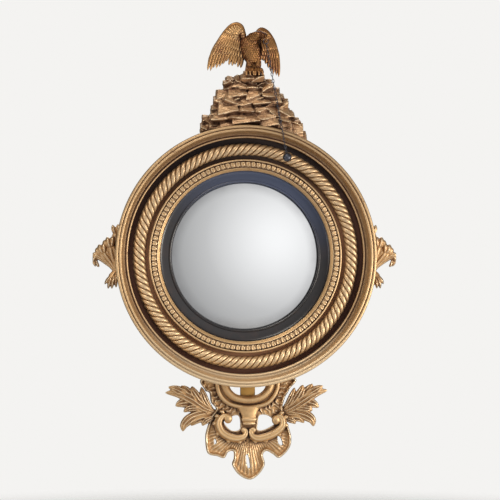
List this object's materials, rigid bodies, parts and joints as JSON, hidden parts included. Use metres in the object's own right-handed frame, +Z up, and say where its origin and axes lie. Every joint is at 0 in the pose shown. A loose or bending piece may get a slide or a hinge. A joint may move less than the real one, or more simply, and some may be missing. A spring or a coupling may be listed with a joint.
{
  "type": "girandole mirror",
  "caption": "Round convex wall mirror in a carved gilt frame with rope-twist moulding, eagle and rockwork crest, a ball hung on a chain and a pierced leaf apron",
  "frame": {"origin": "centre of the round frame on the wall plane, on the back board's rear face", "axes": "+X to the viewer's right from the front, +Y into the wall (the front faces -Y), +Z up"},
  "size_m": [0.746, 0.1078, 1.122],
  "materials": {
    "gilt": "water gilding over red bole, worn at the edges, dark in the recesses",
    "gilt_rock": "paler, rubbed gilding over gesso",
    "ebonised": "black stained and polished wood",
    "silvered_plate": "silvered convex glass",
    "iron": "dark blue-grey worn iron",
    "brass": "dull aged brass",
    "pine": "bare aged pine"
  },
  "bodies": {
    "frame": {"apron_leaf_left": "gilt", "apron_leaf_right": "gilt", "apron_scroll_left": "gilt", "apron_scroll_right": "gilt", "apron_shell": "gilt", "apron_strap": "gilt", "apron_upper_scroll": "gilt", "back_board": "pine", "crest_batten": "pine", "eagle_body": "gilt", "frame_carcase": "pine", "glazing_block_1": "pine", "glazing_block_2": "pine", "glazing_block_3": "pine", "glazing_block_4": "pine", "glazing_block_5": "pine", "glazing_block_6": "pine", "hanger_plate_left": "brass", "hanger_plate_right": "brass", "inner_moulding": "gilt", "mirror_plate": "silvered_plate", "outer_moulding": "gilt", "rock_crest": "gilt_rock", "rope_twist": "gilt", "side_leaf_left": "gilt", "side_leaf_right": "gilt", "slip": "ebonised", "wing_left": "gilt", "wing_right": "gilt"},
    "beak_ring": {"beak_ring": "iron"},
    "ball_and_chain": {"ball_chain": "iron", "ball": "iron"},
    "hanger_ring_left": {"hanger_ring_left": "brass"},
    "hanger_ring_right": {"hanger_ring_right": "brass"}
  },
  "joints": [
    {"name": "beak_ring_swing", "type": "hinge", "parent": "frame", "child": "beak_ring", "pos_m": [0.0456, -0.097, 0.528], "axis": [-1, 0, 0], "range_deg": [0, 60]},
    {"name": "ball_chain_swing", "type": "hinge", "parent": "beak_ring", "child": "ball_and_chain", "pos_m": [0.0456, -0.097, 0.522], "axis": [0, 1, 0], "range_deg": [-20, 35]},
    {"name": "hanger_ring_left_swing", "type": "hinge", "parent": "frame", "child": "hanger_ring_left", "pos_m": [-0.14758, -0.0063, 0.21077], "axis": [1, 0, 0], "range_deg": [0, 180]},
    {"name": "hanger_ring_right_swing", "type": "hinge", "parent": "frame", "child": "hanger_ring_right", "pos_m": [0.14758, -0.0063, 0.21077], "axis": [1, 0, 0], "range_deg": [0, 180]}
  ]
}
